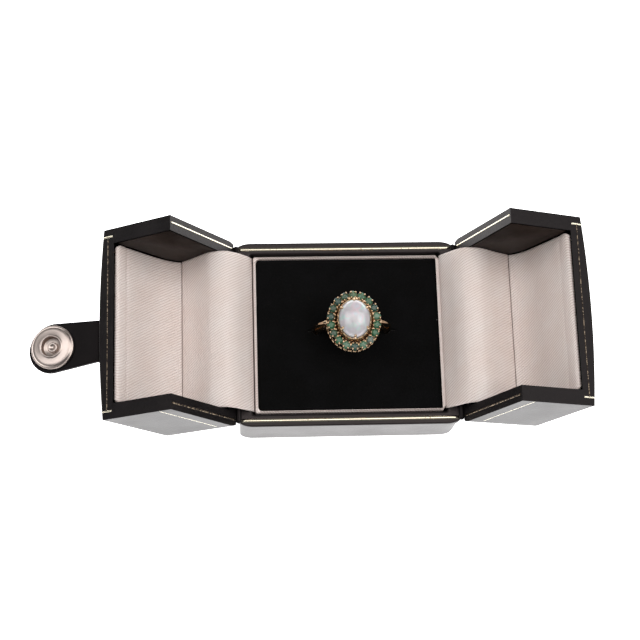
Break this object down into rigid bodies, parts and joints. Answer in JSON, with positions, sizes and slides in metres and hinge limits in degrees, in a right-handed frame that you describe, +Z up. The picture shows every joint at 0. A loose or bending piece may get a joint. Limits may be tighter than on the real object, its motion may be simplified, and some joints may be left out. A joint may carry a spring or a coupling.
{
  "type": "cluster ring in double-door presentation box",
  "caption": "Gold cluster ring with an oval opal and a halo of round emeralds, upright in the velvet pad of a double-door leatherette box.",
  "frame": {"origin": "centre of the box's underside, on the surface it stands on", "axes": "+X from the left lid, which has the strap, to the right lid; +Y away from the viewer, along the hinges; +Z up"},
  "size_m": [0.1434, 0.0498, 0.0447],
  "materials": {
    "leatherette": "black, fine pebble grain, low sheen",
    "satin": "ivory-pink satin, fine twill",
    "velvet": "black velvet",
    "gold": "polished 9 ct gold",
    "opal": "polished, milky with green and blue flashes",
    "emerald": "faceted, polished, with inclusions",
    "strap_leather": "black, dull",
    "nickel": "nickel plate, satin polish"
  },
  "bodies": {
    "base": {"base_shell": "leatherette", "satin_trim": "satin", "velvet_pad": "velvet", "ring_setting": "gold", "opal": "opal", "emerald_01": "emerald", "emerald_02": "emerald", "emerald_03": "emerald", "emerald_04": "emerald", "emerald_05": "emerald", "emerald_06": "emerald", "emerald_07": "emerald", "emerald_08": "emerald", "emerald_09": "emerald", "emerald_10": "emerald", "emerald_11": "emerald", "emerald_12": "emerald", "emerald_13": "emerald", "emerald_14": "emerald", "emerald_15": "emerald", "emerald_16": "emerald", "emerald_17": "emerald", "emerald_18": "emerald", "left_hinge_satin": "satin", "right_hinge_satin": "satin"},
    "left_lid": {"left_lid_shell": "leatherette", "left_side_lining": "satin", "left_top_lining": "satin", "strap": "strap_leather", "snap_socket": "nickel", "snap_cap": "nickel"},
    "right_lid": {"right_lid_shell": "leatherette", "right_side_lining": "satin", "right_top_lining": "satin", "snap_stud": "nickel"}
  },
  "joints": [
    {"name": "left_hinge", "type": "hinge", "parent": "base", "child": "left_lid", "pos_m": [-0.029, 0, 0.018], "axis": [0, 1, 0], "range_deg": [0, 124.4], "deforming": ["left_hinge_satin"]},
    {"name": "right_hinge", "type": "hinge", "parent": "base", "child": "right_lid", "pos_m": [0.029, 0, 0.018], "axis": [0, -1, 0], "range_deg": [-12.5, 111.9], "deforming": ["right_hinge_satin"]}
  ]
}
